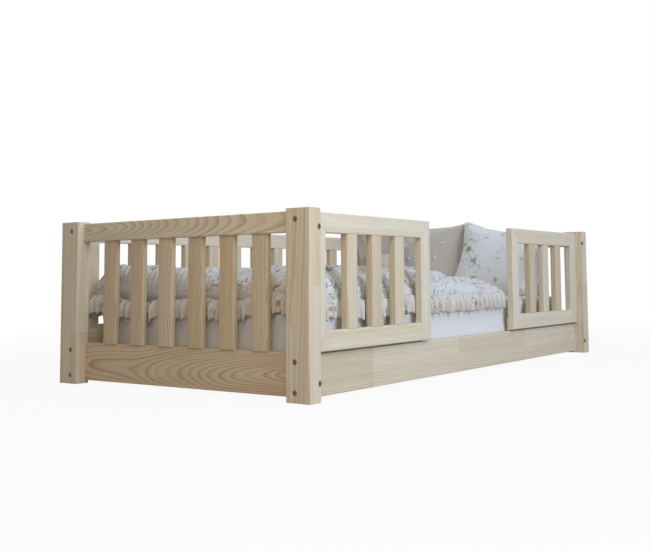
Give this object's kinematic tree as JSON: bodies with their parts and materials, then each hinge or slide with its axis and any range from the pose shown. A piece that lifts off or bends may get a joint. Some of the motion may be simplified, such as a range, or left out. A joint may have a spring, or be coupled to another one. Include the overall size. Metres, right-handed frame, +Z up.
{
  "type": "toddler floor bed",
  "caption": "Low slatted pine floor bed for a toddler, with an entry gap between two mitred side barriers, on four flat posts, dressed with mattress, duvet and cushions.",
  "frame": {"origin": "on the floor under the middle of the bed", "axes": "+X from the foot end to the head end, +Y from the entry side to the back, +Z up"},
  "size_m": [1.72, 0.926, 0.5094],
  "materials": {
    "pine": "planed, clear matt",
    "pale_wood": "raw",
    "screw_bronze": "satin bronze",
    "tape": "woven",
    "fitted_sheet": "smooth cotton",
    "duvet_cotton": "printed cotton",
    "ruffle_cotton": "gathered cotton",
    "pillow_cotton": "printed cotton",
    "taupe_dotted": "linen with woollen dots",
    "taupe_plain": "linen",
    "piped_linen": "linen with white piping"
  },
  "bodies": {
    "root": {"back_barrier_bottom_rail": "pine", "back_barrier_foot_stile": "pine", "back_barrier_head_stile": "pine", "back_barrier_ledge": "pine", "back_barrier_slats": "pine", "back_barrier_top_rail": "pine", "back_base_cleat": "pine", "back_side_board": "pine", "base_slats": "pale_wood", "base_tapes": "tape", "corner_cushion": "taupe_plain", "dotted_cushion": "taupe_dotted", "duvet": "duvet_cotton", "duvet_ruffle": "ruffle_cotton", "end_face_screws": "screw_bronze", "foot_barrier_bottom_rail": "pine", "foot_barrier_foot_stile": "pine", "foot_barrier_gap_stile": "pine", "foot_barrier_ledge": "pine", "foot_barrier_slat_1": "pine", "foot_barrier_slat_2": "pine", "foot_barrier_slat_3": "pine", "foot_barrier_top_rail": "pine", "foot_lower_board": "pine", "foot_slat_1": "pine", "foot_slat_2": "pine", "foot_slat_3": "pine", "foot_slat_4": "pine", "foot_slat_5": "pine", "foot_slat_6": "pine", "foot_top_rail": "pine", "front_base_cleat": "pine", "front_side_board": "pine", "head_barrier_bottom_rail": "pine", "head_barrier_gap_stile": "pine", "head_barrier_head_stile": "pine", "head_barrier_ledge": "pine", "head_barrier_slat_1": "pine", "head_barrier_slat_2": "pine", "head_barrier_slat_3": "pine", "head_barrier_top_rail": "pine", "head_lower_board": "pine", "head_slat_1": "pine", "head_slat_2": "pine", "head_slat_3": "pine", "head_slat_4": "pine", "head_slat_5": "pine", "head_slat_6": "pine", "head_top_rail": "pine", "joint_keys": "pale_wood", "mattress": "fitted_sheet", "pillow": "pillow_cotton", "piped_cushion": "piped_linen", "post_foot_back": "pine", "post_foot_front": "pine", "post_head_back": "pine", "post_head_front": "pine", "side_face_screws": "screw_bronze"}
  },
  "joints": []
}
